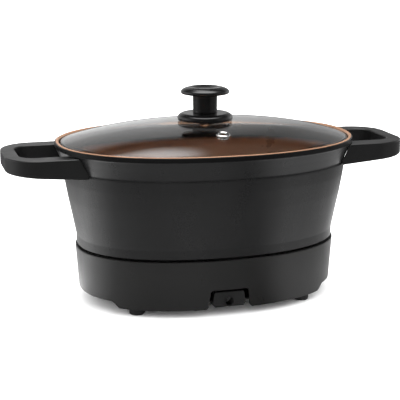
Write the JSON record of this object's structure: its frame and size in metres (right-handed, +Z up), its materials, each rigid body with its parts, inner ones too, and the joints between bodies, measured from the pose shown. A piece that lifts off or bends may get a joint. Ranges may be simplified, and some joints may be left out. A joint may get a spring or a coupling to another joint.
{
  "type": "slow cooker",
  "caption": "Oval slow cooker: lift-out pot with side handles and a knobbed glass lid, standing on a shallow electric heating base with a selector knob.",
  "frame": {"origin": "on the surface that the feet stand on, under the middle of the pot", "axes": "+X along the long axis to one side handle, +Y towards the selector knob, +Z up; the cord gland looks along -Y"},
  "size_m": [0.457, 0.244, 0.2382],
  "materials": {
    "pot_cast": "satin black non-stick coating outside, copper-coloured inside",
    "pot_lining": "copper-coloured non-stick lining, satin",
    "phenolic": "fine matt moulded black",
    "base_paint": "satin black",
    "glass": "clear tempered glass",
    "steel": "bright pressed steel",
    "plate": "machined cast aluminium",
    "rubber": "matt black",
    "silicone": "grey silicone",
    "ceramic": "off-white insulator",
    "amber": "translucent amber",
    "wire_brown": "insulation",
    "wire_red": "insulation",
    "wire_blue": "insulation"
  },
  "bodies": {
    "base": {"base_shell": "base_paint", "base_deck": "base_paint", "bottom_cover": "phenolic", "cover_screw_1": "steel", "cover_screw_2": "steel", "cover_screw_3": "steel", "cover_screw_4": "steel", "foot_1": "rubber", "foot_2": "rubber", "foot_3": "rubber", "foot_4": "rubber", "cord_gland": "phenolic", "cord_clamp": "phenolic", "terminal_block": "ceramic", "wire_live": "wire_brown", "wire_return": "wire_red", "wire_neutral": "wire_blue", "heating_plate": "plate", "heating_element": "steel", "heat_reflector": "steel", "plate_post_1": "steel", "plate_post_2": "steel", "plate_post_3": "steel", "sensor_holder": "steel", "sensor_spring": "steel", "thermal_fuse": "ceramic", "selector_switch": "phenolic", "indicator_lens": "amber", "neon_lamp": "glass"},
    "pot": {"pot_body": "pot_cast", "pot_contact_plate": "steel", "handle_right": "phenolic", "handle_left": "phenolic", "handle_screw_1": "steel", "handle_screw_2": "steel", "handle_screw_3": "steel", "handle_screw_4": "steel"},
    "lid": {"lid_glass": "glass", "steam_vent": "steel", "lid_knob": "phenolic", "knob_flange": "phenolic", "knob_washer": "silicone", "knob_screw": "steel"},
    "selector": {"selector_knob": "phenolic", "selector_spindle": "steel"},
    "sensor": {"sensor_cap": "plate"}
  },
  "joints": [
    {"name": "pot_lift", "type": "slide", "parent": "base", "child": "pot", "axis": [0, 0, 1], "range_m": [0, 0.1]},
    {"name": "lid_lift", "type": "slide", "parent": "pot", "child": "lid", "axis": [0, 0, 1], "range_m": [0, 0.1]},
    {"name": "selector_turn", "type": "hinge", "parent": "base", "child": "selector", "pos_m": [0, 0.103, 0.036], "axis": [0, -1, 0], "range_deg": [0, 180]},
    {"name": "sensor_press", "type": "slide", "parent": "base", "child": "sensor", "axis": [0, 0, 1], "range_m": [-0.002, 0], "stiffness_N_per_m": 400, "springref_m": 0.003, "deforming": ["sensor_spring"]}
  ]
}
